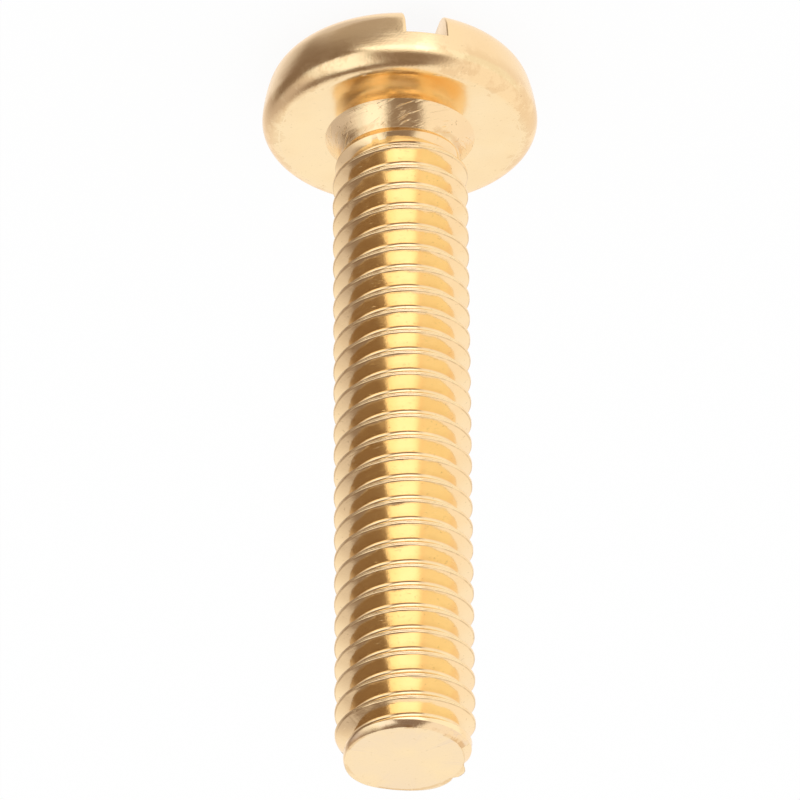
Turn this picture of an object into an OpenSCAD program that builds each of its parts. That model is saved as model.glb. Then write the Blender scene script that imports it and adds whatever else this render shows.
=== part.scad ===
// Slotted pan head machine screw in brass, M4 thread, 20 mm long, one headed and rolled piece.
// It stands on the flat top of its head, with its tip up.
// The origin is the middle of the head's top, and +Z runs along the axis towards the tip.

/* [Head] */
// Largest diameter of the head
head_d = 8.1; // [7:0.1:10]
// Height of the head, from its flat top to its bearing face
head_h = 2.35; // [2.2:0.05:3]
// Radius of the edge round the flat top
head_top_r = 1.1; // [0.4:0.05:1.2]
// Radius of the edge round the bearing face
head_rim_r = 0.6; // [0.1:0.05:0.7]
// Lean of the head's side towards the flat top, in degrees
head_lean = 11; // [0:0.5:14]

/* [Driver slot] */
// Width of the slot
slot_w = 1.2; // [0.8:0.05:1.6]
// Depth of the slot
slot_depth = 1.2; // [0.6:0.05:1.4]
// Turn of the slot about the axis, in degrees
slot_turn = -12; // [-90:1:90]

/* [Shank] */
// Length from the bearing face to the tip
screw_l = 20.55; // [10:0.05:32]
// Diameter of the neck where it meets the thread
neck_d = 3.5; // [3.3:0.05:3.6]
// Length of the neck, from the bearing face to the thread
neck_l = 0.7; // [0.6:0.05:2]
// Diameter to which the neck flares at the bearing face
neck_flare_d = 4.4; // [4:0.05:5]
// Depth of the hollow in the flare
neck_hollow = 0.05; // [0:0.01:0.1]

/* [Thread] */
// Diameter over the thread's crests
thread_d = 3.97; // [3.8:0.01:4.2]
// Advance of the right-hand thread in one turn
thread_pitch = 0.7; // [0.5:0.05:0.8]
// Turn of the thread about the axis, in degrees
thread_turn = 210; // [0:1:359]
// Height over which the thread rises to its full depth
thread_rise = 0.45; // [0.2:0.05:1.4]
// Diameter of the flat at the tip
tip_d = 3.38; // [2.6:0.02:3.6]
// Height of the chamfer round the tip
tip_chamfer = 0.75; // [0.1:0.05:1.2]
// Height over which the last groove runs out below the tip
groove_end_l = 0.5; // [0.2:0.05:1.4]

/* [Hidden] */
$fn = 96;
// Overshoot of a cut past the surface that it opens
cut_over = 1;
// Depth that the head's straight side is tucked into its two rounded edges
side_tuck = 0.001;
// Step from the neck down to the core where the thread starts
neck_step = 0.05;
// Depth that the thread's core reaches into the neck
core_seat = 0.2;
// Width of the ledge that the groove's end leaves inside the tip's edge
tip_ledge = 0.03;
// Depth that the groove's end reaches into the core
groove_end_seat = 0.05;
// Straight stretches down the hollow flare
flare_steps = 8;
// Half the angle between the flanks of a metric thread
flank_angle = 30;
// Straight facets in one turn of the thread
turn_steps = 30;
// Turns of bare core before the thread rises, and turns past the tip before it is trimmed
lead_turns = 2;
tail_turns = 1;

head_r = head_d / 2;
neck_r = neck_d / 2;
tip_r = tip_d / 2;
neck_end_z = head_h + neck_l;
tip_z = head_h + screw_l;

// Centres of the two rounded edges of the head, in the half-section (radius, height)
rim_centre = [head_r - head_rim_r, head_h - head_rim_r];
crown_centre = [
    rim_centre[0] + (head_rim_r - head_top_r) / cos(head_lean)
        - (rim_centre[1] - head_top_r) * tan(head_lean),
    head_top_r
];

// Run of the neck's flare, in the half-section (radius, height), and the way into its hollow
flare_from = [neck_flare_d / 2, head_h];
flare_to = [neck_r, neck_end_z - neck_step];
flare_run = flare_to - flare_from;
flare_in = [-flare_run[1], flare_run[0]] / norm(flare_run);

// Metric profile: a crest an eighth of the pitch wide and a root a sixth of it
crest_w = thread_pitch / 8;
root_w = thread_pitch / 6;
crest_r = thread_d / 2;
root_r = crest_r - (thread_pitch - crest_w - root_w) / 2 / tan(flank_angle);
core_r = neck_r - neck_step;

// One pitch of the profile: radius and height from the middle of the crest
ridge = [
    [root_r, (root_w - thread_pitch) / 2],
    [crest_r, -crest_w / 2],
    [crest_r, crest_w / 2],
    [root_r, (thread_pitch - root_w) / 2]
];
ridge_n = len(ridge);

// The thread starts as bare core inside the neck, rises from its end and runs past the tip
start_z = neck_end_z - lead_turns * thread_pitch;
turns = ceil((tip_z - start_z) / thread_pitch) + tail_turns;
last_step = turns * turn_steps;

// Share of the full depth that the thread has at a height
function rise(z) = min(max((z - neck_end_z) / thread_rise, 0), 1);

function ridge_point(step, k) =
    let (
        angle = thread_turn + 360 * step / turn_steps,
        z = start_z + thread_pitch * step / turn_steps + ridge[k][1],
        radius = core_r + (ridge[k][0] - core_r) * rise(z)
    )
    [radius * cos(angle), radius * sin(angle), z];

// Place of a ridge point in the list of points
function at(step, k) = ridge_n * step + k;

// Point of the flare at a share of its run
function flare_point(share) =
    flare_from + share * flare_run + 4 * share * (1 - share) * neck_hollow * flare_in;

function on_round(centre, radius, angle) = centre + radius * [cos(angle), sin(angle)];

module head_section() {
    polygon([
        [0, 0],
        [crown_centre[0], 0],
        on_round(crown_centre, head_top_r - side_tuck, -head_lean),
        on_round(rim_centre, head_rim_r - side_tuck, -head_lean),
        [rim_centre[0], head_h],
        [0, head_h]
    ]);
    translate(crown_centre) circle(r = head_top_r);
    translate(rim_centre) circle(r = head_rim_r);
}

module neck_section() {
    flare = [for (n = [0:flare_steps]) flare_point(n / flare_steps)];
    polygon(concat(
        [[0, head_h]],
        flare,
        [[core_r + neck_step / 2, neck_end_z], [0, neck_end_z]]
    ));
}

module driver_slot() {
    rotate(slot_turn)
        translate([-slot_w / 2, -head_d, -cut_over])
            cube([slot_w, 2 * head_d, slot_depth + cut_over]);
}

// Endless thread: the profile swept along the helix, each turn joined to the next, with a fan over each end
module thread_sweep() {
    points = [for (step = [0:last_step], k = [0:ridge_n - 1]) ridge_point(step, k)];
    first_hub = len(points);
    last_hub = first_hub + 1;
    hubs = [[0, 0, start_z], [0, 0, start_z + turns * thread_pitch]];
    flanks = [
        for (step = [0:last_step - 1], k = [0:ridge_n - 2])
            [at(step, k), at(step, k + 1), at(step + 1, k + 1), at(step + 1, k)]
    ];
    roots = [
        for (step = [0:last_step - turn_steps - 1])
            [at(step, ridge_n - 1), at(step + turn_steps, 0),
             at(step + turn_steps + 1, 0), at(step + 1, ridge_n - 1)]
    ];
    first_edge = concat(
        [for (step = [0:turn_steps]) at(step, 0)],
        [for (k = [ridge_n - 1:-1:0]) at(0, k)]
    );
    last_edge = concat(
        [for (k = [0:ridge_n - 1]) at(last_step, k)],
        [for (step = [last_step - 1:-1:last_step - turn_steps]) at(step, ridge_n - 1)],
        [at(last_step, 0)]
    );
    first_fan = [for (n = [0:len(first_edge) - 2]) [first_edge[n], first_edge[n + 1], first_hub]];
    last_fan = [for (n = [0:len(last_edge) - 2]) [last_edge[n], last_edge[n + 1], last_hub]];
    polyhedron(points = concat(points, hubs), faces = concat(flanks, roots, first_fan, last_fan));
}

// What is left of the thread between the neck and the chamfered tip
module thread() {
    chamfer_slope = tip_chamfer / (crest_r - tip_r);
    wide_r = crest_r + cut_over;
    intersection() {
        thread_sweep();
        rotate_extrude()
            polygon([
                [0, neck_end_z - core_seat],
                [wide_r, neck_end_z - core_seat],
                [wide_r, tip_z - chamfer_slope * (wide_r - tip_r)],
                [tip_r, tip_z],
                [0, tip_z]
            ]);
    }
}

// Run-out of the last groove: a cone that fills it up to the tip
module groove_end() {
    rotate_extrude()
        polygon([
            [0, tip_z - groove_end_l],
            [root_r - groove_end_seat, tip_z - groove_end_l],
            [tip_r - tip_ledge, tip_z],
            [0, tip_z]
        ]);
}

module screw() {
    color("goldenrod") {
        difference() {
            rotate_extrude() {
                head_section();
                neck_section();
            }
            driver_slot();
        }
        thread();
        groove_end();
    }
}

screw();
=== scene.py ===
# Slotted pan head machine screw in brass: its finish, the studio round it and the camera
import math

import bpy
from mathutils import Matrix, Vector, noise


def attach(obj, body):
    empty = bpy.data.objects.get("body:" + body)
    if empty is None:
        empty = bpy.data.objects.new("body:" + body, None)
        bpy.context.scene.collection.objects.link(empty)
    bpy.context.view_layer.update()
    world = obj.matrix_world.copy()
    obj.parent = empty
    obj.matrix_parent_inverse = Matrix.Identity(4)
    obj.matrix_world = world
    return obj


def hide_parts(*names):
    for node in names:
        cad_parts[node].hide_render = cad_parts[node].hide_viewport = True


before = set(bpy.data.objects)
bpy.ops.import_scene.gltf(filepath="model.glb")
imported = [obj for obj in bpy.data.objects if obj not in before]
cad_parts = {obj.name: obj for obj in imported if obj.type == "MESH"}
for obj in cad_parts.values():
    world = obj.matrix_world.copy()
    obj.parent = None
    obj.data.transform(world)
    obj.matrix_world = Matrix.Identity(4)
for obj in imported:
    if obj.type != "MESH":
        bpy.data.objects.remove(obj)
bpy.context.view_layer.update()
print("frame loaded:", sorted(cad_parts))

mm = 0.001


# Small mesh helpers: everything is drawn in millimetres and scaled to metres at the end

def solidFrom(name, points, faces):
    mesh = bpy.data.meshes.new(name)
    mesh.from_pydata(points, [], faces)
    mesh.validate()
    solid = bpy.data.objects.new(name, mesh)
    bpy.context.scene.collection.objects.link(solid)
    return solid


def arcPoints(centre, radius, fromAngle, toAngle, steps):
    angles = [math.radians(fromAngle + (toAngle - fromAngle) * n / steps) for n in range(steps + 1)]
    return [(centre[0] + radius * math.cos(a), centre[1] + radius * math.sin(a)) for a in angles]


def lathe(name, outline, segments, bulge=lambda turn, height: 0):
    # outline runs from the axis at the bottom to the axis at the top, as (radius, height)
    rings = outline[1:-1]
    points = [(0, 0, outline[0][1]), (0, 0, outline[-1][1])]
    for ringRadius, height in rings:
        for s in range(segments):
            turn = math.tau * s / segments
            radius = ringRadius + bulge(turn, height)
            points.append((radius * math.cos(turn), radius * math.sin(turn), height))
    at = lambda ring, s: 2 + ring * segments + s % segments
    faces = []
    for s in range(segments):
        faces.append((0, at(0, s + 1), at(0, s)))
        faces.append((1, at(len(rings) - 1, s), at(len(rings) - 1, s + 1)))
        for ring in range(len(rings) - 1):
            faces.append((at(ring, s), at(ring, s + 1), at(ring + 1, s + 1), at(ring + 1, s)))
    return solidFrom(name, points, faces)


def shape(target, tool, how):
    step = target.modifiers.new(how.lower(), "BOOLEAN")
    step.operation = how
    step.solver = "MANIFOLD"
    step.object = tool
    bpy.context.view_layer.update()
    done = target.evaluated_get(bpy.context.evaluated_depsgraph_get())
    target.data = bpy.data.meshes.new_from_object(done)
    target.modifiers.clear()
    bpy.data.objects.remove(tool)


# Thread: a metric profile with rounded crests and roots, swept along the helix

thread = {
    "diameter": 3.97,
    "pitch": 0.7,
    "turn": 210,             # where the helix starts, in degrees
    "startHeight": 1.65,     # height of the crest's middle at that turn
    "riseHeight": 3.05,      # the neck's end, where the thread rises from the bare core
    "riseLength": 0.45,
    "coreRadius": 1.7,
    "flankAngle": 30,
    "crestRound": 0.03,
    "crestSteps": 4,
    "rootRound": 0.07,
    "rootSteps": 3,
    "flankSupport": 0.012,   # keeps the shading of the rounds off the flanks
    "seamDepth": 0.012,      # the fold that rolling leaves along a crest
    "seamHalf": 0.009,
    "seamLip": 0.001,
    "crestWobble": 0.006,
    "wobbleDepth": 0.03,     # how far down from the crest the wobble reaches
    "wobbleFineness": 1.7,
    "segments": 96,
    "topHeight": 23.8,
}

tip = {
    "height": 22.9,
    "diameter": 3.38,
    "chamfer": 0.75,
    "wornRadius": 1.86,      # the last crest is worn down and rounded over
    "wornHeight": 0.42,
    "wornSteps": 6,
    "shoulder": 0.17,
    "shoulderBow": 1.4,
    "shoulderSteps": 8,
    "sideTrim": (-5, 35, 0.14),      # turn and width in degrees, and how much more is worn off
    "slant": 0.054,          # the cropped end is higher at the back, height for each millimetre
    "slantFrom": -1.4,
    "grooveEnd": 0.5,        # height over which the last groove fills up
    "grooveSeat": 0.05,
    "ledge": 0.03,
    "seatHeight": 2.85,      # where the thread's core starts, inside the neck
    # burrs and nicks that cropping left: turn, width in degrees, and how far they stand out
    "rimMarks": ((38, 28, 0.12), (118, 22, 0.13), (154, 10, 0.16), (141, 4, -0.08)),
    "rimWobble": 0.016,
    "rimWobbleRound": 4,
    "rimWobbleAlong": 3,
    "segments": 240,
}


def rimMark(p, turn, height):
    # how far the rim stands out at a turn, in radians
    def swell(middle, width):
        away = (math.degrees(turn) - middle + 180) % 360 - 180
        return math.exp(-(away / width) ** 2)

    below = p["height"] - height
    near = max(0, 1 - below / p["chamfer"])
    marks = sum(out * swell(middle, width) for middle, width, out in p["rimMarks"])
    middle, width, depth = p["sideTrim"]
    trim = depth * swell(middle, width) * min(1, below / p["shoulder"])
    fineness, along = p["rimWobbleRound"], p["rimWobbleAlong"]
    wobble = noise.noise(Vector((fineness * math.cos(turn), fineness * math.sin(turn), along * height)))
    return marks * near ** 3 - trim * min(1, 2 * near) + p["rimWobble"] * near * wobble


def threadSide(t):
    # half of one pitch, from the crest's middle to the root's, as (offset along the axis, radius)
    flank = math.radians(t["flankAngle"])
    crestR = t["diameter"] / 2
    crestHalf, rootHalf = t["pitch"] / 16, t["pitch"] / 12
    rootR = crestR - (t["pitch"] / 2 - crestHalf - rootHalf) / math.tan(flank)
    # how far a round's end is set back, for each millimetre of its radius
    setback = math.tan(math.radians(45 - t["flankAngle"] / 2))
    crest, root = t["crestRound"], t["rootRound"]
    crestCentre = (crestHalf - crest * setback, crestR - crest)
    rootCentre = (t["pitch"] / 2 - rootHalf + root * setback, rootR + root)
    crestArc = arcPoints(crestCentre, crest, 90, t["flankAngle"], t["crestSteps"])
    rootArc = arcPoints(rootCentre, root, 180 + t["flankAngle"], 270, t["rootSteps"])
    along, down = t["flankSupport"] * math.sin(flank), t["flankSupport"] * math.cos(flank)
    return [
        (0, crestR - t["seamDepth"]), (t["seamHalf"], crestR - t["seamLip"]),
        *crestArc,
        (crestArc[-1][0] + along, crestArc[-1][1] - down),
        (rootArc[0][0] - along, rootArc[0][1] + down),
        *rootArc,
        (t["pitch"] / 2, rootR),
    ]


def threadRod(t, p):
    side = threadSide(t)
    profile = [(-along, radius) for along, radius in reversed(side)] + side[1:]
    crestR, rootR, tipR = t["diameter"] / 2, side[-1][1], p["diameter"] / 2
    perTurn = t["segments"]
    turns = math.ceil((t["topHeight"] - t["startHeight"]) / t["pitch"])
    last, width = turns * perTurn, len(profile) - 1

    def grooveFoot(z, angle):
        z -= p["slant"] * (tipR * math.sin(angle) - p["slantFrom"])
        share = (z - p["height"]) / p["grooveEnd"] + 1
        foot = rootR - p["grooveSeat"] + (tipR - p["ledge"] - rootR + p["grooveSeat"]) * share
        return foot + max(0, rimMark(p, angle, min(z, p["height"])))

    points = []
    for step in range(last + perTurn + 1):
        angle = math.radians(t["turn"]) + math.tau * step / perTurn
        height = t["startHeight"] + t["pitch"] * step / perTurn
        for along, radius in profile[:-1]:
            rise = min(max((height + along - t["riseHeight"]) / t["riseLength"], 0), 1)
            r = t["coreRadius"] + (radius - t["coreRadius"]) * rise
            if height > p["height"] - 2 * t["pitch"]:
                r = max(r, grooveFoot(height + along, angle))
            nearCrest = max(0, 1 - abs(crestR - radius) / t["wobbleDepth"])
            wobble = t["crestWobble"] * nearCrest * rise
            spot = (r * math.cos(angle), r * math.sin(angle), height)
            here = Vector([v * t["wobbleFineness"] for v in spot])
            r += wobble * noise.noise(here * 3)
            z = height + along + wobble * noise.noise(here * 2 + Vector((9, 4, 7)))
            points.append((r * math.cos(angle), r * math.sin(angle), z))

    at = lambda step, k: (step + perTurn) * width if k == width else step * width + k
    faces = [
        (at(step, k), at(step + 1, k), at(step + 1, k + 1), at(step, k + 1))
        for step in range(last) for k in range(width)
    ]
    firstEdge = [at(step, 0) for step in range(perTurn + 1)]
    firstEdge += [at(0, k) for k in reversed(range(width))]
    lastEdge = [at(last, k) for k in range(width + 1)]
    lastEdge += [at(step, width) for step in reversed(range(last - perTurn, last))]
    hubs = len(points)
    points += [(0, 0, t["startHeight"]), (0, 0, t["startHeight"] + t["pitch"] * turns)]
    faces += [(a, hubs, b) for a, b in zip(firstEdge, firstEdge[1:])]
    faces += [(a, hubs + 1, b) for a, b in zip(lastEdge, lastEdge[1:])]
    used = sorted({i for face in faces for i in face})
    place = {old: new for new, old in enumerate(used)}
    faces = [tuple(place[i] for i in face) for face in faces]
    return solidFrom("threadRod", [points[i] for i in used], faces)


def tipEnvelope(p, t):
    crestR, tipR, top = t["diameter"] / 2, p["diameter"] / 2, p["height"]
    slope = p["chamfer"] / (crestR - tipR)
    wide = crestR + 1
    outline = [(0, p["seatHeight"]), (wide, p["seatHeight"]), (wide, top - slope * (wide - tipR))]
    for n in range(p["wornSteps"] + 1):
        share = n / p["wornSteps"]
        ease = share * share * (3 - 2 * share)
        outline.append((crestR - (crestR - p["wornRadius"]) * ease,
                        top - p["chamfer"] + (p["chamfer"] - p["wornHeight"]) * n / p["wornSteps"]))
    for n in range(p["shoulderSteps"] + 1):
        share = n / p["shoulderSteps"]
        outline.append((p["wornRadius"] - (p["wornRadius"] - tipR) * share ** p["shoulderBow"],
                        top - p["shoulder"] * (1 - share)))
    outline.append((0, top))
    envelope = lathe("tipEnvelope", outline, p["segments"], lambda turn, height: rimMark(p, turn, height))
    for point in envelope.data.vertices:
        if point.co.z > top - p["chamfer"] - 0.01:
            point.co.z += p["slant"] * (point.co.y - p["slantFrom"])
    return envelope


# Head: a lathed blank with its neck, then the milled slot and its rounded edges

head = {
    "diameter": 8.1,
    "height": 2.35,
    "topRound": 1.1,
    "rimRound": 0.6,
    "leanFrom": 5,           # the side leans a little more from the rim to the crown, in degrees
    "leanTo": 17,
    "roundSteps": 24,
    "sideSteps": 8,
    "faceSteps": 5,
    "neckDiameter": 3.5,
    "neckEnd": 3.05,
    "neckStep": 0.05,
    "neckFlare": 4.4,        # diameter of the neck where it meets the bearing face
    "neckHollow": 0.05,
    "flareSteps": 12,
    "segments": 240,
}

slot = {
    "width": 1.2,
    "depth": 1.2,
    "turn": -12,
    "lip": 0.06,             # how far the rounded edges reach on to the head and down the walls
    "lipSteps": 4,
    "lipOver": 0.05,         # how far the cutter of an edge stands clear of the head
    "lipHair": 0.002,
}


def flarePoints(h):
    # a shallow hollow from the bearing face down to the thread
    start = Vector((h["neckFlare"] / 2, h["height"]))
    run = Vector((h["neckDiameter"] / 2, h["neckEnd"] - h["neckStep"])) - start
    inward = Vector((-run.y, run.x)).normalized()
    shares = [n / h["flareSteps"] for n in range(h["flareSteps"] + 1)]
    return [tuple(start + s * run + 4 * s * (1 - s) * h["neckHollow"] * inward) for s in shares]


def headOutline(h):
    # the rim's round, the barrel side and the crown's round meet without a kink
    rim = Vector((h["diameter"] / 2 - h["rimRound"], h["height"] - h["rimRound"]))
    facing = lambda lean: Vector((math.cos(math.radians(lean)), -math.sin(math.radians(lean))))
    fromWay, toWay = facing(h["leanFrom"]), facing(h["leanTo"])
    sideTop = rim + h["rimRound"] * fromWay
    sideRound = (sideTop.y - h["topRound"] * (1 + toWay.y)) / (fromWay.y - toWay.y)
    side = sideTop - sideRound * fromWay
    crown = side + (sideRound - h["topRound"]) * toWay
    flare = flarePoints(h)
    faceRun = flare[0][0] - rim.x
    return [
        (0, 0), (crown.x / 2, 0),
        *arcPoints(crown, h["topRound"], -90, -h["leanTo"], h["roundSteps"]),
        *arcPoints(side, sideRound, -h["leanTo"], -h["leanFrom"], h["sideSteps"])[1:-1],
        *arcPoints(rim, h["rimRound"], -h["leanFrom"], 90, h["roundSteps"]),
        *((rim.x + faceRun * n / h["faceSteps"], h["height"]) for n in range(1, h["faceSteps"])),
        *flare,
        (h["neckDiameter"] / 2 - h["neckStep"] / 2, h["neckEnd"]), (0, h["neckEnd"]),
    ]


def slotCutter(s, reach):
    half = s["width"] / 2
    corners = ((-half, -reach), (half, -reach), (half, reach), (-half, reach))
    block = [(x, y, z) for z in (-1, s["depth"]) for x, y in corners]
    sides = [(k, (k + 1) % 4, (k + 1) % 4 + 4, k + 4) for k in range(4)]
    cutter = solidFrom("slotCutter", block, [(3, 2, 1, 0), (4, 5, 6, 7), *sides])
    cutter.data.transform(Matrix.Rotation(math.radians(s["turn"]), 4, "Z"))
    return cutter


def lipCutter(s, outline, turn):
    # rounds the edge between one wall of the slot and the head, from floor to floor over the top
    half, lip, over, hair = s["width"] / 2, s["lip"], s["lipOver"], s["lipHair"]
    rings = [ring for ring in outline[1:] if ring[1] < s["depth"]]
    foot, beyond = Vector(rings[-1]), Vector(outline[len(rings) + 1])
    rings.append(foot.lerp(beyond, (s["depth"] - foot.y) / (beyond.y - foot.y)))
    climb = [Vector((half, math.sqrt(radius ** 2 - half ** 2), z)) for radius, z in rings]
    edge = [Vector((half, -point.y, point.z)) for point in reversed(climb)] + climb
    shares = [n / s["lipSteps"] for n in range(1, s["lipSteps"])]
    section = [
        (-over, -over), (lip, -over), (lip, -hair),
        *((lip * (1 - t) ** 2, lip * t ** 2) for t in shares),
        (-hair, lip), (-over, lip),
    ]
    points = []
    for n, corner in enumerate(edge):
        run = (edge[min(n + 1, len(edge) - 1)] - edge[max(n - 1, 0)]).normalized()
        around = Vector((corner.y, -corner.x, 0)) * math.copysign(1, corner.y)
        out = (around - around.dot(run) * run).normalized()    # along the head, away from the slot
        down = Vector((0, -run.z, run.y))                      # along the wall, into the head
        points += [corner + a * out + b * down for a, b in section]
    width, last = len(section), len(edge) - 1
    faces = [tuple(range(width)), tuple(last * width + k for k in reversed(range(width)))]
    for n in range(last):
        for k in range(width):
            here, after = n * width + k, n * width + (k + 1) % width
            faces.append((here, here + width, after + width, after))
    cutter = solidFrom("lipCutter", points, faces)
    cutter.data.transform(Matrix.Rotation(math.radians(turn), 4, "Z"))
    return cutter


headRings = headOutline(head)
screw = lathe("brassScrew", headRings, head["segments"])
shape(screw, slotCutter(slot, head["diameter"]), "DIFFERENCE")
for wall in (0, 180):
    shape(screw, lipCutter(slot, headRings, slot["turn"] + wall), "DIFFERENCE")
print("head lathed and slotted:", len(screw.data.polygons), "faces")

shank = threadRod(thread, tip)
shape(shank, tipEnvelope(tip, thread), "INTERSECT")
print("thread rolled:", len(shank.data.polygons), "faces")
shape(screw, shank, "UNION")

sharpFrom = 32               # degrees between faces
screw.data.transform(Matrix.Scale(mm, 4))
screw.data.polygons.foreach_set("use_smooth", [True] * len(screw.data.polygons))
screw.data.set_sharp_from_angle(angle=math.radians(sharpFrom))
screw.data.name = "brassScrew"
print("screw joined:", sum(len(p.vertices) - 2 for p in screw.data.polygons), "triangles")


# Node helpers: a value is a number, a colour or another node's socket

def link(tree, *pairs):
    for fromSocket, toSocket in pairs:
        tree.links.new(fromSocket, toSocket)


def feed(tree, socket, value):
    if isinstance(value, (int, float, tuple)):
        socket.default_value = value
    else:
        tree.links.new(value, socket)


def mathNode(tree, how, first, second=None):
    node = tree.nodes.new("ShaderNodeMath")
    node.operation = how
    feed(tree, node.inputs[0], first)
    if second is not None:
        feed(tree, node.inputs[1], second)
    return node.outputs[0]


def plus(tree, first, second):
    return mathNode(tree, "ADD", first, second)


def minus(tree, first, second):
    return mathNode(tree, "SUBTRACT", first, second)


def times(tree, first, second):
    return mathNode(tree, "MULTIPLY", first, second)


def divide(tree, first, second):
    return mathNode(tree, "DIVIDE", first, second)


def mixColour(tree, factor, first, second):
    node = tree.nodes.new("ShaderNodeMix")
    node.data_type = "RGBA"
    feed(tree, node.inputs["Factor"], factor)
    feed(tree, node.inputs[6], first)
    feed(tree, node.inputs[7], second)
    return node.outputs[2]


def ramp(tree, value, low, high, toLow=0, toHigh=1, kind="SMOOTHSTEP"):
    node = tree.nodes.new("ShaderNodeMapRange")
    node.interpolation_type = kind
    labels = ("Value", "From Min", "From Max", "To Min", "To Max")
    for label, given in zip(labels, (value, low, high, toLow, toHigh)):
        feed(tree, node.inputs[label], given)
    return node.outputs["Result"]


def noiseNode(tree, place, scale, detail=2, coarseness=0.5):
    node = tree.nodes.new("ShaderNodeTexNoise")
    labels = ("Vector", "Scale", "Detail", "Roughness")
    for label, given in zip(labels, (place, scale, detail, coarseness)):
        feed(tree, node.inputs[label], given)
    return node.outputs[0]


def combine(tree, *values):
    node = tree.nodes.new("ShaderNodeCombineXYZ")
    for socket, value in zip(node.inputs, values):
        feed(tree, socket, value)
    return node.outputs[0]


def separate(tree, place):
    node = tree.nodes.new("ShaderNodeSeparateXYZ")
    link(tree, (place, node.inputs[0]))
    return node.outputs


def newGroup(name, inputs, outputs):
    group = bpy.data.node_groups.new(name, "ShaderNodeTree")
    kinds = {"vector": "NodeSocketVector", "value": "NodeSocketFloat", "colour": "NodeSocketColor"}
    for way, sockets in (("INPUT", inputs), ("OUTPUT", outputs)):
        for label, kind in sockets.items():
            group.interface.new_socket(label, in_out=way, socket_type=kinds[kind])
    given = group.nodes.new("NodeGroupInput").outputs
    return group, given, group.nodes.new("NodeGroupOutput").inputs


def placeGroup(tree, group, **values):
    node = tree.nodes.new("ShaderNodeGroup")
    node.node_tree = group
    for label, value in values.items():
        feed(tree, node.inputs[label], value)
    return node.outputs


def valueSockets(*labels):
    return {label: "value" for label in labels}


# Brass: one alloy, finished six ways

brass = {
    "bright": (0.985, 0.79, 0.48, 1),
    "deep": (0.94, 0.7, 0.38, 1),
    "bloom": (0.89, 0.72, 0.51, 1),
    "stain": (0.76, 0.52, 0.27, 1),
    "tarnish": (0.5, 0.33, 0.17, 1),
}


def screwPlaces():
    # the screw's own places in millimetres: straight, round the axis, and unrolled round it
    group, given, result = newGroup(
        "screwPlaces", valueSockets("Round", "Along", "Fall"),
        {"Straight": "vector", "Rings": "vector", "Unrolled": "vector", **valueSockets("Radius", "Height")})
    large = group.nodes.new("ShaderNodeVectorMath")
    large.operation = "SCALE"
    large.inputs["Scale"].default_value = 1 / mm
    link(group, (group.nodes.new("ShaderNodeTexCoord").outputs["Object"], large.inputs[0]))
    x, y, height = separate(group, large.outputs[0])
    across = plus(group, times(group, x, x), times(group, y, y))
    radius = mathNode(group, "MAXIMUM", mathNode(group, "SQRT", across), 0.001)
    run = plus(group, height, times(group, given["Fall"], radius))
    rings = combine(
        group,
        times(group, divide(group, x, radius), given["Round"]),
        times(group, divide(group, y, radius), given["Round"]),
        times(group, run, given["Along"]))
    turn = mathNode(group, "ARCTAN2", times(group, x, -1), times(group, y, -1))
    unrolled = combine(group, times(group, turn, 2), minus(group, radius, height), 0)
    link(group, (large.outputs[0], result["Straight"]), (rings, result["Rings"]),
         (unrolled, result["Unrolled"]), (radius, result["Radius"]), (height, result["Height"]))
    return group


def brassTone():
    group, given, result = newGroup(
        "brassTone", {"Place": "vector", **valueSockets("Patina", "Bloom", "Specks", "Stain")},
        {"Colour": "colour"})
    cloud = ramp(group, noiseNode(group, given["Place"], 0.55, 3), 0.35, 0.72)
    haze = ramp(group, noiseNode(group, given["Place"], 0.9, 3), 0.25, 0.6)
    blotch = ramp(group, noiseNode(group, given["Place"], 0.9, 5, 0.65), 0.42, 0.52)
    dots = ramp(group, noiseNode(group, given["Place"], 8, 2), 0.66, 0.74)
    colour = mixColour(group, times(group, cloud, given["Patina"]), brass["bright"], brass["deep"])
    colour = mixColour(group, times(group, haze, given["Bloom"]), colour, brass["bloom"])
    colour = mixColour(group, times(group, blotch, given["Stain"]), colour, brass["stain"])
    colour = mixColour(group, times(group, dots, given["Specks"]), colour, brass["tarnish"])
    link(group, (colour, result["Colour"]))
    return group


def stainBand():
    # stain gathers in a wavering band round the axis, from an inner to an outer radius, above a foot
    limits = ("InnerFrom", "InnerTo", "OuterFrom", "OuterTo", "FootFrom", "FootTo")
    group, given, result = newGroup(
        "stainBand", {"Place": "vector", **valueSockets("Radius", "Height", "Waver", "Amount", *limits)},
        {"Mask": "value"})
    wave = noiseNode(group, given["Place"], 1.6, 5, 0.7)
    waver = ramp(group, wave, 0.2, 0.8, times(group, given["Waver"], -1), given["Waver"])
    reach = plus(group, given["Radius"], waver)
    inner = ramp(group, reach, given["InnerFrom"], given["InnerTo"])
    outer = ramp(group, reach, given["OuterFrom"], given["OuterTo"], 1, 0)
    foot = ramp(group, given["Height"], given["FootFrom"], given["FootTo"])
    band = times(group, times(group, inner, outer), foot)
    link(group, (times(group, band, given["Amount"]), result["Mask"]))
    return group


def edgeWear():
    # rubbed edges, where the surface bends outwards
    group, given, result = newGroup("edgeWear", valueSockets("Amount"), valueSockets("Mask"))
    bend = group.nodes.new("ShaderNodeNewGeometry").outputs["Pointiness"]
    link(group, (times(group, ramp(group, bend, 0.51, 0.57), given["Amount"]), result["Mask"]))
    return group


def satinGrain():
    group, given, result = newGroup(
        "satinGrain", {"Place": "vector", "Fineness": "value"}, valueSockets("Height"))
    link(group, (noiseNode(group, given["Place"], given["Fineness"], 3, 0.6), result["Height"]))
    return group


def turningLines():
    group, given, result = newGroup("turningLines", {"Rings": "vector"}, valueSockets("Height"))
    link(group, (noiseNode(group, given["Rings"], 1, 3, 0.6), result["Height"]))
    return group


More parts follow.
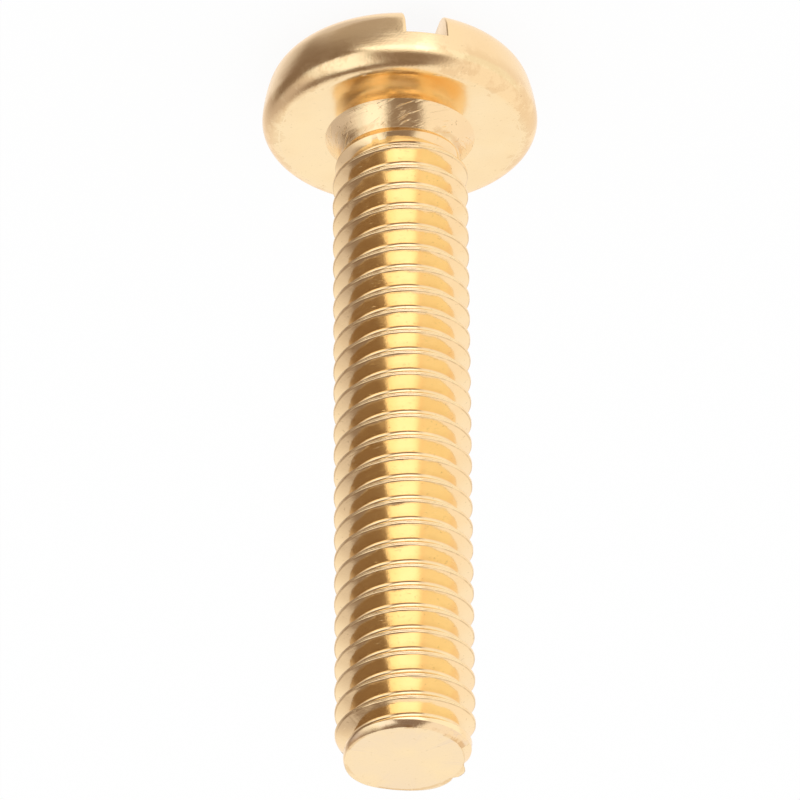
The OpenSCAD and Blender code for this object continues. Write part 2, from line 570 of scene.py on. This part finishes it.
def scuffMarks():
    # long thin scratches across an unrolled surface
    group, given, result = newGroup(
        "scuffMarks", {"Place": "vector", **valueSockets("Turn", "Length", "Fineness", "Share")},
        valueSockets("Mask"))
    turned = group.nodes.new("ShaderNodeVectorRotate")
    turned.rotation_type = "Z_AXIS"
    link(group, (given["Place"], turned.inputs["Vector"]), (given["Turn"], turned.inputs["Angle"]))
    drawn = group.nodes.new("ShaderNodeVectorMath")
    drawn.operation = "MULTIPLY"
    stretch = combine(group, divide(group, 1, given["Length"]), given["Fineness"], 1)
    link(group, (turned.outputs[0], drawn.inputs[0]), (stretch, drawn.inputs[1]))
    lines = noiseNode(group, drawn.outputs[0], 1, 2, 0.6)
    start = minus(group, 0.72, times(group, given["Share"], 0.25))
    marks = ramp(group, lines, start, plus(group, start, 0.12), kind="LINEAR")
    patches = ramp(group, noiseNode(group, given["Place"], 0.9, 2), 0.4, 0.6)
    link(group, (times(group, marks, patches), result["Mask"]))
    return group


def cloudyPolish():
    # roughness in soft clouds, duller in the scuffs and brighter on rubbed edges
    group, given, result = newGroup(
        "cloudyPolish", {"Place": "vector", **valueSockets("Middle", "Spread", "Marks", "Worn")},
        valueSockets("Roughness"))
    halfSpread = times(group, given["Spread"], 0.5)
    low, high = minus(group, given["Middle"], halfSpread), plus(group, given["Middle"], halfSpread)
    rough = ramp(group, noiseNode(group, given["Place"], 1.3, 3), 0.3, 0.7, low, high)
    rough = plus(group, rough, times(group, given["Marks"], given["Spread"]))
    rough = minus(group, rough, times(group, given["Worn"], halfSpread))
    link(group, (rough, result["Roughness"]))
    return group


places, tone, stains, wearMask = screwPlaces(), brassTone(), stainBand(), edgeWear()
grain, turning, scuffs, polish = satinGrain(), turningLines(), scuffMarks(), cloudyPolish()

# sizes in millimetres, fineness in waves a millimetre, scuffTurn in degrees
# stainBand: inner radii, outer radii and heights between which the stain sets in
finishes = {
    "satinHead": dict(
        roughness=0.19, spread=0.07, edgeBreak=0.02, wear=0.5, patina=0.3, specks=0.25, bloom=0.08,
        stain=0.4, stainBand=((3.58, 3.66), (9, 10), (1.2, 1.7)), stainWaver=0.4,
        grainFineness=16, grainDepth=0.003, ringRound=2.5, ringAlong=7, ringFall=1, ringDepth=0.003,
        scuffTurn=80, scuffLength=0.5, scuffFineness=16, scuffShare=0.2, scuffDepth=0.003),
    "turnedFace": dict(
        roughness=0.15, spread=0.06, edgeBreak=0.02, wear=0, patina=0.4, specks=0.15, bloom=0.12,
        stain=0.4, stainBand=((3.58, 3.66), (9, 10), (1.2, 1.7)), stainWaver=0.4,
        grainFineness=9, grainDepth=0.001, ringRound=1.5, ringAlong=14, ringFall=1, ringDepth=0.0015,
        scuffTurn=25, scuffLength=0.6, scuffFineness=14, scuffShare=0.12, scuffDepth=0.002),
    "scuffedNeck": dict(
        roughness=0.16, spread=0.08, edgeBreak=0.02, wear=0.3, patina=0.3, specks=0.5, bloom=0.2,
        stain=0.5, stainBand=((1.7, 1.75), (1.85, 1.95), (2.8, 2.9)), stainWaver=0.05,
        grainFineness=12, grainDepth=0.002, ringRound=1.6, ringAlong=5, ringFall=-1, ringDepth=0.012,
        scuffTurn=-32, scuffLength=1.1, scuffFineness=8, scuffShare=0.7, scuffDepth=0.01),
    "rolledThread": dict(
        roughness=0.13, spread=0.05, edgeBreak=0.01, wear=0.6, patina=0.35, specks=0.3, bloom=0.05,
        stain=0.15, stainBand=((1.4, 1.5), (1.6, 1.75), (3, 3.2)), stainWaver=0.05,
        grainFineness=11, grainDepth=0.0016, ringRound=3, ringAlong=16, ringFall=0, ringDepth=0.0012,
        scuffTurn=5, scuffLength=0.5, scuffFineness=16, scuffShare=0.25, scuffDepth=0.003,
        # how strongly a dark reflection line is painted along the crests' edges
        paintedCrestReflection=0.5),
    "croppedTip": dict(
        roughness=0.18, spread=0.08, edgeBreak=0.03, wear=0.6, patina=0.4, specks=0.3, bloom=0.9,
        stain=1, stainBand=((1.62, 1.66), (1.72, 1.78), (22.5, 22.7)), stainWaver=0.03,
        grainFineness=7, grainDepth=0.003, ringRound=1.2, ringAlong=6, ringFall=1, ringDepth=0.002,
        scuffTurn=60, scuffLength=0.8, scuffFineness=10, scuffShare=0.2, scuffDepth=0.003),
    "milledSlot": dict(
        roughness=0.22, spread=0.08, edgeBreak=0.02, wear=0.5, patina=0.5, specks=0.35, bloom=0.2,
        stain=0.4, stainBand=((3, 3.4), (9, 10), (0.4, 1)), stainWaver=0.3,
        grainFineness=9, grainDepth=0.002, ringRound=1, ringAlong=18, ringFall=0, ringDepth=0.004,
        scuffTurn=90, scuffLength=0.8, scuffFineness=14, scuffShare=0.3, scuffDepth=0.003),
}

# sizes of the dark reflection line painted along both edges of each crest
crestReflectionLine = {
    "beside": 0.006,         # how far outside the crest's flat the line runs
    "core": 0.004,           # half the width of the full line, and of its faint edge
    "faint": 0.02,
    "fromRadius": (1.85, 1.9),
}


def paintedCrestReflection(tree, place, amount, t, d):
    # a dark reflection painted along the crest's edges, in patches, by how far a point is from the crest's
    # middle along the axis
    x, y, height = separate(tree, place["Straight"])
    turns = divide(tree, mathNode(tree, "ARCTAN2", y, x), math.tau)
    climb = divide(tree, minus(tree, height, t["startHeight"]), t["pitch"])
    phase = minus(tree, plus(tree, climb, t["turn"] / 360 + 0.5), turns)
    away = mathNode(tree, "ABSOLUTE", minus(tree, mathNode(tree, "FRACT", phase), 0.5))
    off = minus(tree, times(tree, away, t["pitch"]), t["pitch"] / 16 + d["beside"])
    line = ramp(tree, mathNode(tree, "ABSOLUTE", off), d["core"], d["faint"], 1, 0)
    outside = ramp(tree, place["Radius"], *d["fromRadius"])
    patchy = ramp(tree, noiseNode(tree, place["Straight"], 2.5, 4, 0.65), 0.35, 0.6, 0.25, 1)
    return times(tree, times(tree, times(tree, line, outside), patchy), amount)


def finishBrass(name, f):
    made = bpy.data.materials.new(name)
    made.use_nodes = True
    tree = made.node_tree
    shader = tree.nodes["Principled BSDF"]
    shader.inputs["Metallic"].default_value = 1
    place = placeGroup(tree, places, Round=f["ringRound"], Along=f["ringAlong"], Fall=f["ringFall"])
    straight = place["Straight"]

    inner, outer, foot = f["stainBand"]
    stain = placeGroup(
        tree, stains, Place=straight, Radius=place["Radius"], Height=place["Height"],
        Waver=f["stainWaver"], Amount=f["stain"], InnerFrom=inner[0], InnerTo=inner[1],
        OuterFrom=outer[0], OuterTo=outer[1], FootFrom=foot[0], FootTo=foot[1])["Mask"]
    colour = placeGroup(tree, tone, Place=straight, Patina=f["patina"], Bloom=f["bloom"],
                        Specks=f["specks"], Stain=stain)["Colour"]
    worn = placeGroup(tree, wearMask, Amount=f["wear"])["Mask"]
    colour = mixColour(tree, worn, colour, brass["bright"])
    # a dark reflection line painted along the crests' edges, in the tarnish colour
    if "paintedCrestReflection" in f:
        paintedReflection = paintedCrestReflection(tree, place, f["paintedCrestReflection"], thread, crestReflectionLine)
        colour = mixColour(tree, paintedReflection, colour, brass["tarnish"])
    link(tree, (colour, shader.inputs["Base Color"]))

    fine = placeGroup(tree, grain, Place=straight, Fineness=f["grainFineness"])["Height"]
    rings = placeGroup(tree, turning, Rings=place["Rings"])["Height"]
    marks = placeGroup(
        tree, scuffs, Place=place["Unrolled"], Turn=math.radians(f["scuffTurn"]),
        Length=f["scuffLength"], Fineness=f["scuffFineness"], Share=f["scuffShare"])["Mask"]
    rough = placeGroup(tree, polish, Place=straight, Middle=f["roughness"], Spread=f["spread"],
                       Marks=marks, Worn=worn)["Roughness"]
    link(tree, (rough, shader.inputs["Roughness"]))

    edge = tree.nodes.new("ShaderNodeBevel")
    edge.inputs["Radius"].default_value = f["edgeBreak"] * mm
    normal = edge.outputs["Normal"]
    reliefs = ((fine, f["grainDepth"]), (rings, f["ringDepth"]), (marks, -f["scuffDepth"]))
    for height, depth in reliefs:
        bump = tree.nodes.new("ShaderNodeBump")
        bump.invert = depth < 0
        bump.inputs["Distance"].default_value = abs(depth) * mm
        link(tree, (height, bump.inputs["Height"]), (normal, bump.inputs["Normal"]))
        normal = bump.outputs["Normal"]
    link(tree, (normal, shader.inputs["Normal"]))
    return made


screw.data.materials.clear()
for name, settings in finishes.items():
    screw.data.materials.append(finishBrass(name, settings))
zone = {name: n for n, name in enumerate(finishes)}
slotTurn = math.radians(slot["turn"])
slotAcross = Vector((math.cos(slotTurn), math.sin(slotTurn), 0))


def zoneOf(centre, facing):
    across, hair = abs(centre.dot(slotAcross)), 0.01
    if centre.z < slot["depth"] + hair and across < slot["width"] / 2 + hair:
        if abs(facing.dot(slotAcross)) > 0.9 or centre.z > slot["depth"] - hair:
            return "milledSlot"
    if centre.z < head["height"] - hair:
        return "satinHead"
    if centre.z < head["height"] + hair and facing.z > 0.99:
        return "turnedFace"
    if centre.z < head["neckEnd"] - hair:
        return "scuffedNeck"
    tipFoot = tip["height"] + tip["slant"] * (centre.y - tip["slantFrom"]) - tip["shoulder"]
    if centre.z > tipFoot - hair and facing.z > 0.3:
        return "croppedTip"
    return "rolledThread"


for face in screw.data.polygons:
    face.material_index = zone[zoneOf(face.center / mm, face.normal)]

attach(screw, "root")
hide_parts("screw")
print("brass finished:", len(finishes), "finishes")


# Studio: a white room for the eye, and soft cards that only the metal's reflections see

studio = {
    "roomLight": 1.0,
    "white": (1, 1, 1, 1),
    "room": (1.02, 0.93, 0.87, 1),
    # in degrees across from the camera's side and up from the floor's plane
    # lean: how far the left edge moves for each degree up
    # tilts: how far the low and high edges move for each degree across
    "cards": [
        dict(name="backLeft", left=-260, right=-146, low=8, high=62, softness=24,
             colour=(1.02, 0.99, 0.98, 1)),
        dict(name="backRight", left=146, right=260, low=8, high=62, softness=24,
             colour=(1.02, 0.98, 0.96, 1)),
        dict(name="leftHalfShade", left=-138, right=-84, low=-54, high=64, softness=34,
             colour=(0.64, 0.555, 0.53, 1)),
        dict(name="underLeftShade", left=-150, right=-80, low=-100, high=-56, softness=20,
             colour=(0.7, 0.62, 0.62, 1)),
        dict(name="underShade", left=-84, right=6, low=-100, high=-52, softness=10,
             colour=(0.46, 0.38, 0.33, 1)),
        dict(name="leftShade", left=-118, right=-78, low=-54, high=8, softness=26,
             colour=(0.34, 0.265, 0.215, 1)),
        dict(name="lowLeftShade", left=-112, right=-12, low=-54, high=-18, softness=12,
             highTilt=-0.2, colour=(0.255, 0.185, 0.145, 1)),
        dict(name="gapShade", left=-40, right=-8, low=-22, high=12, softness=14,
             colour=(0.6, 0.52, 0.46, 1)),
        dict(name="frontShade", left=-22, right=40, low=2, high=84, softness=20,
             colour=(0.3, 0.22, 0.175, 1)),
        dict(name="leftHighShade", left=-121, right=-80, low=43, high=66, softness=22,
             colour=(0.3, 0.22, 0.17, 1)),
        dict(name="highShade", left=-122, right=40, low=51, high=84, softness=12,
             colour=(0.27, 0.195, 0.155, 1)),
        dict(name="rightLow", left=30, right=106, low=-38, high=-2, softness=12,
             colour=(1.05, 1.04, 0.99, 1)),
        dict(name="leftBoxEdge", left=-77, right=-24, low=-19, high=62, softness=7,
             lowTilt=-0.2, colour=(0.95, 0.91, 0.87, 1)),
        dict(name="leftBox", left=-64, right=-30, low=-19, high=58, softness=14,
             lowTilt=-0.2, colour=(1.25, 1.18, 1.16, 1)),
        dict(name="frontBox", left=-6, right=44, low=-53, high=-8, softness=9,
             lean=0.9, lowTilt=-0.28, highTilt=0.1, colour=(1.05, 0.98, 0.93, 1)),
        dict(name="frontLamp", left=-4, right=33, low=-44, high=-10, softness=12,
             lean=0.9, lowTilt=-0.28, highTilt=0.1, colour=(1.5, 1.45, 1.4, 1)),
        dict(name="frontCore", left=-12, right=26, low=-40, high=-15, softness=16,
             colour=(1.65, 1.62, 1.78, 1)),
    ],
}


def cardGroup():
    limits = ("Left", "Right", "Low", "High", "Softness", "Lean", "LowTilt", "HighTilt")
    group, given, result = newGroup(
        "studioCard", valueSockets("Across", "Up", *limits), valueSockets("Mask"))
    soft = times(group, given["Softness"], 0.5)

    def inside(value, low, high):
        fromLow = ramp(group, value, minus(group, low, soft), plus(group, low, soft))
        toHigh = ramp(group, value, minus(group, high, soft), plus(group, high, soft), 1, 0)
        return times(group, fromLow, toHigh)

    def slanted(limit, slant, along):
        return plus(group, given[limit], times(group, given[slant], given[along]))

    sides = inside(given["Across"], slanted("Left", "Lean", "Up"), given["Right"])
    ends = inside(given["Up"], slanted("Low", "LowTilt", "Across"), slanted("High", "HighTilt", "Across"))
    link(group, (times(group, sides, ends), result["Mask"]))
    return group


def studioWorld(s):
    world = bpy.data.worlds.new("studio")
    bpy.context.scene.world = world
    world.use_nodes = True
    world.cycles.sampling_method = "NONE"
    tree = world.node_tree
    background = tree.nodes["Background"]
    path = tree.nodes.new("ShaderNodeLightPath").outputs
    x, y, z = separate(tree, tree.nodes.new("ShaderNodeTexCoord").outputs["Generated"])
    turn = mathNode(tree, "ARCTAN2", times(tree, x, -1), times(tree, y, -1))
    across = mathNode(tree, "DEGREES", turn)
    up = mathNode(tree, "DEGREES", mathNode(tree, "ARCSINE", z))
    card = cardGroup()

    reflected = s["room"]
    for c in s["cards"]:
        mask = placeGroup(
            tree, card, Across=across, Up=up, Left=c["left"], Right=c["right"],
            Low=c["low"], High=c["high"], Softness=c["softness"], Lean=c.get("lean", 0),
            LowTilt=c.get("lowTilt", 0), HighTilt=c.get("highTilt", 0))["Mask"]
        reflected = mixColour(tree, mask, reflected, c["colour"])

    level = s["roomLight"]
    light = mixColour(tree, path["Is Glossy Ray"], (level, level, level, 1), reflected)
    light = mixColour(tree, path["Is Camera Ray"], light, s["white"])
    link(tree, (light, background.inputs["Color"]))


studioWorld(studio)
print("studio lit:", len(studio["cards"]), "cards")


floor = {"size": 2.0, "colour": (0.97, 0.97, 0.97, 1), "glow": 0.92}     # size in metres


def paleFloor(f):
    half = f["size"] / 2
    corners = [(-half, -half, 0), (half, -half, 0), (half, half, 0), (-half, half, 0)]
    made = solidFrom("paleFloor", corners, [(0, 1, 2, 3)])
    made.visible_glossy = False
    material = bpy.data.materials.new("paleFloor")
    material.use_nodes = True
    tree = material.node_tree
    tree.nodes.clear()
    out = tree.nodes.new("ShaderNodeOutputMaterial")
    matt = tree.nodes.new("ShaderNodeBsdfDiffuse")
    matt.inputs["Color"].default_value = f["colour"]
    glow = tree.nodes.new("ShaderNodeEmission")
    blend = tree.nodes.new("ShaderNodeMixShader")
    path = tree.nodes.new("ShaderNodeLightPath").outputs
    link(tree, (times(tree, path["Is Camera Ray"], f["glow"]), blend.inputs["Fac"]),
         (matt.outputs[0], blend.inputs[1]), (glow.outputs[0], blend.inputs[2]),
         (blend.outputs[0], out.inputs["Surface"]))
    made.data.materials.append(material)


paleFloor(floor)
print("floor laid")


view = {
    "elevation": 30.69,
    "distance": 213.4,
    "aimHeight": 11.29,
    "roll": 0.5,
    "sideShift": 0.065,
    "lens": 333.5,
    "sensor": 36,
    "clip": (0.01, 10),      # in metres
}


def photoCamera(v):
    e, r = math.radians(v["elevation"]), math.radians(v["roll"])
    back = Vector((0, -math.cos(e), math.sin(e)))
    headUp = Vector((0, -math.sin(e), -math.cos(e)))      # the head is at the top of the picture
    side = Vector((-1, 0, 0))
    right = side * math.cos(r) - headUp * math.sin(r)
    up = side * math.sin(r) + headUp * math.cos(r)
    place = Vector((0, 0, v["aimHeight"])) + back * v["distance"] - right * v["sideShift"]
    data = bpy.data.cameras.new("photoCamera")
    data.sensor_width, data.lens = v["sensor"], v["lens"]
    data.clip_start, data.clip_end = v["clip"]
    made = bpy.data.objects.new("photoCamera", data)
    bpy.context.scene.collection.objects.link(made)
    turned = Matrix((right, up, back)).transposed().to_4x4()
    made.matrix_world = Matrix.Translation(place * mm) @ turned
    bpy.context.scene.camera = made


photoCamera(view)
bpy.context.scene.view_settings.view_transform = "Standard"
print("camera placed")
